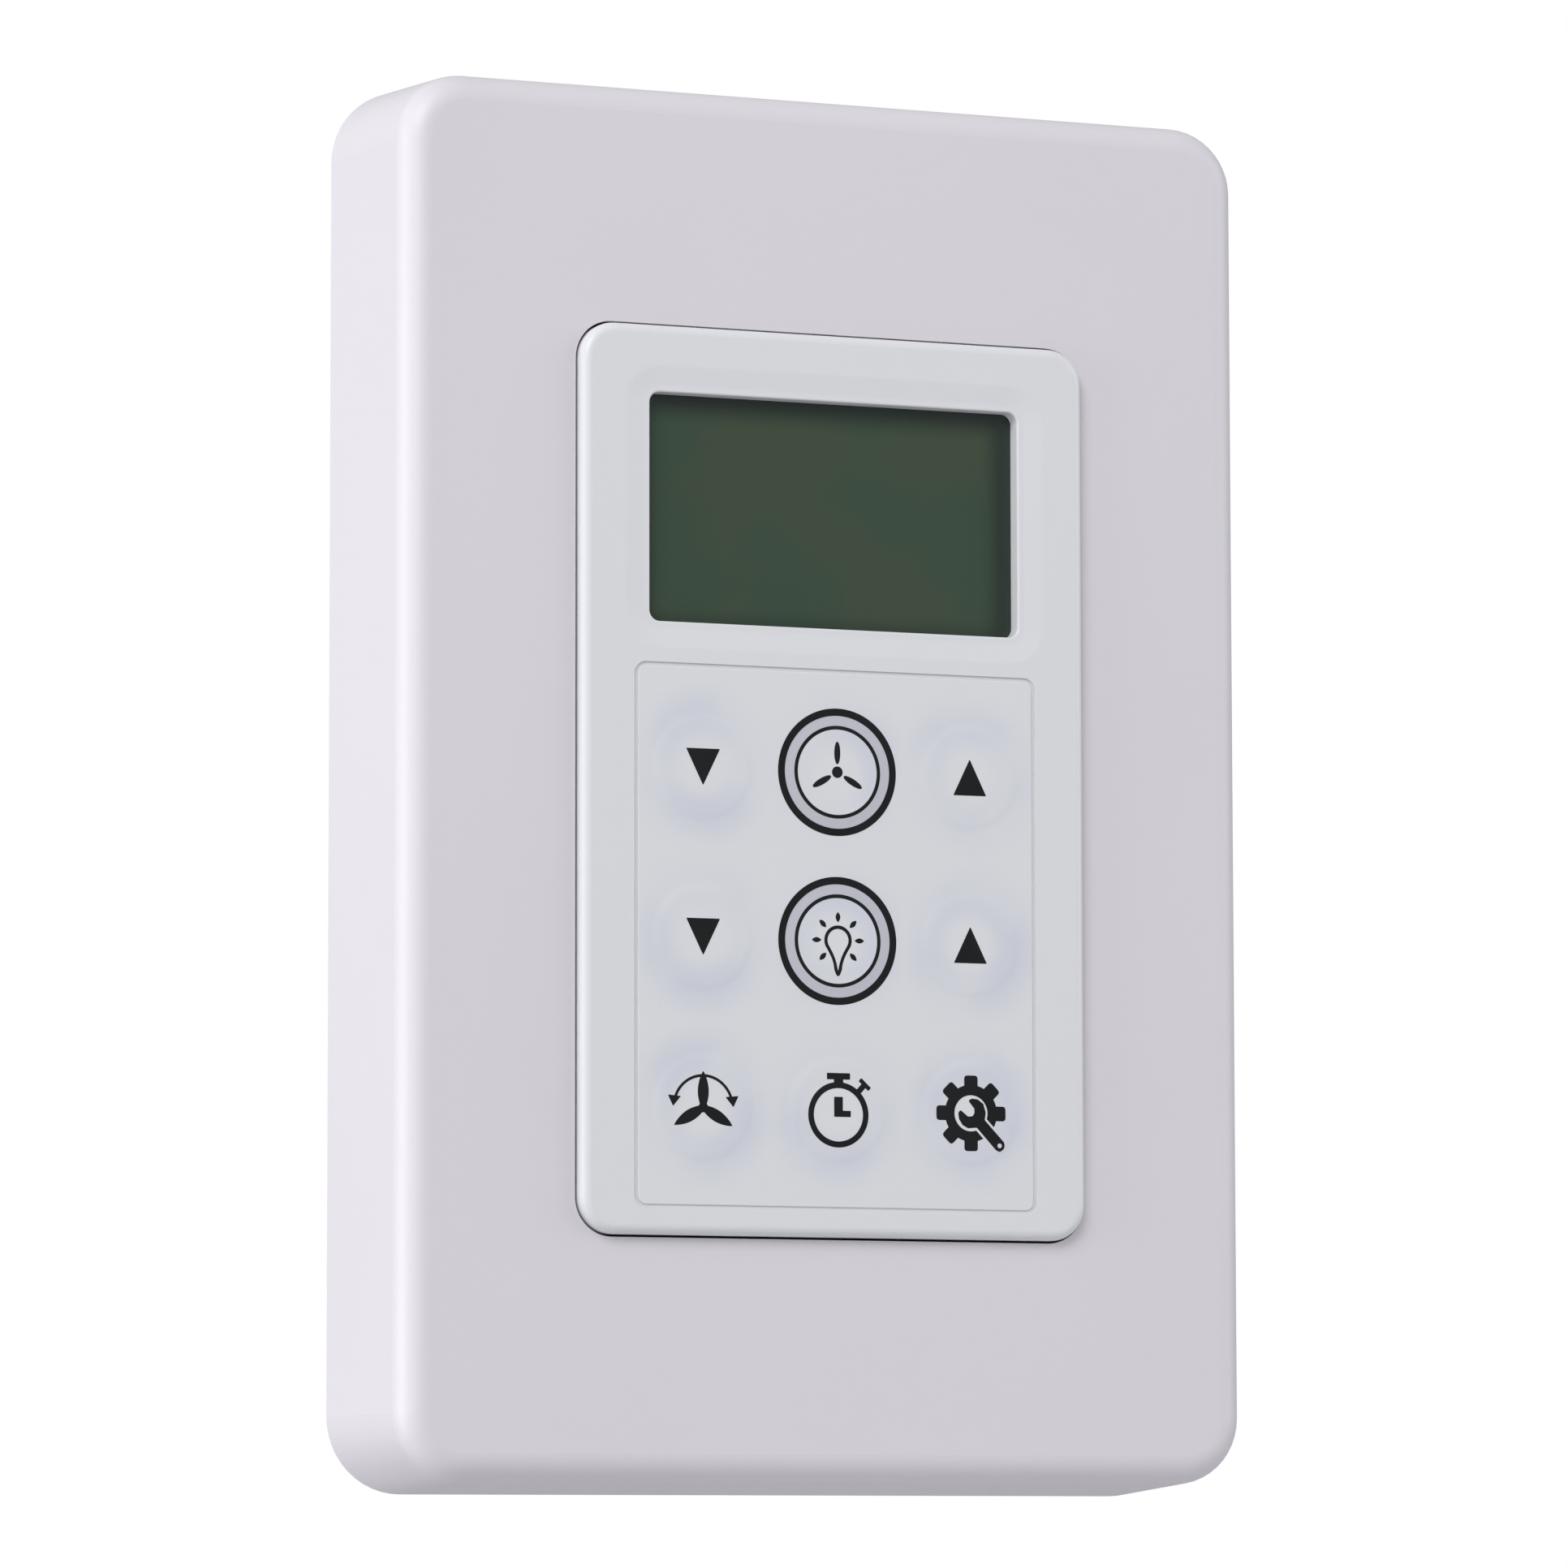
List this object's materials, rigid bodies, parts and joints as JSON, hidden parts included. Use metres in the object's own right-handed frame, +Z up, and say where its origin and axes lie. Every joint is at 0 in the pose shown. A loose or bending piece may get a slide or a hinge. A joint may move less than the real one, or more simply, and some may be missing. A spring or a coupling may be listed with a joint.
{
  "type": "wall controller",
  "caption": "Wall-mounted climate control with a raised face, LCD window and nine press keys in a rounded cover plate over a steel yoke and rear box housing.",
  "frame": {"origin": "middle of the cover plate's rear face, on the wall plane, midway between the two box screws", "axes": "+X to the right seen from the front, +Y into the wall, +Z up"},
  "size_m": [0.0772, 0.0414, 0.117],
  "materials": {
    "cover_plastic": "fine satin moulded ABS",
    "module_plastic": "fine satin moulded ABS",
    "keypad_film": "printed polyester film, soft matt",
    "key_plastic": "moulded acetal",
    "stem_plastic": "moulded nylon",
    "black_plastic": "spark-textured nylon",
    "spring_steel": "rolled stainless spring strip",
    "polarizer": "smoky polarizing film",
    "display_glass": "thin soda glass",
    "light_guide": "moulded acrylic",
    "reflector": "white film",
    "white_plastic": "moulded ABS",
    "contact_rubber": "silicone",
    "lamp": "moulded lamp bodies",
    "circuit_board": "solder-masked laminate",
    "screw_steel": "zinc-plated",
    "chip_black": "moulded epoxy",
    "bright_metal": "tin-plated",
    "yoke_steel": "zinc-plated pressed steel",
    "core_iron": "ferrite",
    "capacitor_sleeve": "shrunk sleeve",
    "fuse_glass": "ceramic tube",
    "absorber_blue": "dipped epoxy",
    "terminal_green": "moulded polyamide"
  },
  "bodies": {
    "control": {"backlight_lamps": "lamp", "board_screws": "screw_steel", "box_screws": "screw_steel", "bulk_capacitors": "capacitor_sleeve", "buzzer": "black_plastic", "case_screws": "screw_steel", "clip_frame": "white_plastic", "clock_crystal": "bright_metal", "contact_strip": "contact_rubber", "control_module": "module_plastic", "cover_clips": "spring_steel", "display_board": "circuit_board", "display_driver": "chip_black", "fan_relay": "black_plastic", "keypad_film": "keypad_film", "lcd_front_glass": "display_glass", "lcd_front_polarizer": "polarizer", "lcd_holder": "white_plastic", "lcd_light_guide": "light_guide", "lcd_rear_glass": "display_glass", "lcd_rear_polarizer": "polarizer", "lcd_reflector": "reflector", "light_relay": "black_plastic", "link_pins": "bright_metal", "link_socket": "black_plastic", "link_strip": "black_plastic", "microcontroller": "chip_black", "mounting_yoke": "yoke_steel", "plate_screws": "screw_steel", "power_board": "circuit_board", "rear_housing": "black_plastic", "supply_fuse": "fuse_glass", "surge_absorber": "absorber_blue", "switch_bases": "black_plastic", "switch_domes": "spring_steel", "switch_plates": "spring_steel", "terminal_block": "terminal_green", "terminal_clamps": "bright_metal", "terminal_screws": "screw_steel", "transformer_bobbin": "black_plastic", "transformer_core": "core_iron"},
    "cover": {"cover_plate": "cover_plastic"},
    "fan_down_button": {"fan_down_key": "key_plastic", "fan_down_stem": "stem_plastic"},
    "fan_button": {"fan_key": "key_plastic", "fan_stem": "stem_plastic"},
    "fan_up_button": {"fan_up_key": "key_plastic", "fan_up_stem": "stem_plastic"},
    "light_down_button": {"light_down_key": "key_plastic", "light_down_stem": "stem_plastic"},
    "light_button": {"light_key": "key_plastic", "light_stem": "stem_plastic"},
    "light_up_button": {"light_up_key": "key_plastic", "light_up_stem": "stem_plastic"},
    "reverse_button": {"reverse_key": "key_plastic", "reverse_stem": "stem_plastic"},
    "timer_button": {"timer_key": "key_plastic", "timer_stem": "stem_plastic"},
    "settings_button": {"settings_key": "key_plastic", "settings_stem": "stem_plastic"}
  },
  "joints": [
    {"name": "fan_down_press", "type": "slide", "parent": "control", "child": "fan_down_button", "axis": [0, 1, 0], "range_m": [0, 0.0003], "stiffness_N_per_m": 5500},
    {"name": "fan_press", "type": "slide", "parent": "control", "child": "fan_button", "axis": [0, 1, 0], "range_m": [0, 0.0003], "stiffness_N_per_m": 5500},
    {"name": "fan_up_press", "type": "slide", "parent": "control", "child": "fan_up_button", "axis": [0, 1, 0], "range_m": [0, 0.0003], "stiffness_N_per_m": 5500},
    {"name": "light_down_press", "type": "slide", "parent": "control", "child": "light_down_button", "axis": [0, 1, 0], "range_m": [0, 0.0003], "stiffness_N_per_m": 5500},
    {"name": "light_press", "type": "slide", "parent": "control", "child": "light_button", "axis": [0, 1, 0], "range_m": [0, 0.0003], "stiffness_N_per_m": 5500},
    {"name": "light_up_press", "type": "slide", "parent": "control", "child": "light_up_button", "axis": [0, 1, 0], "range_m": [0, 0.0003], "stiffness_N_per_m": 5500},
    {"name": "reverse_press", "type": "slide", "parent": "control", "child": "reverse_button", "axis": [0, 1, 0], "range_m": [0, 0.0003], "stiffness_N_per_m": 5500},
    {"name": "timer_press", "type": "slide", "parent": "control", "child": "timer_button", "axis": [0, 1, 0], "range_m": [0, 0.0003], "stiffness_N_per_m": 5500},
    {"name": "settings_press", "type": "slide", "parent": "control", "child": "settings_button", "axis": [0, 1, 0], "range_m": [0, 0.0003], "stiffness_N_per_m": 5500},
    {"name": "cover_pull", "type": "slide", "parent": "control", "child": "cover", "axis": [0, -1, 0], "range_m": [0, 0.024]}
  ]
}
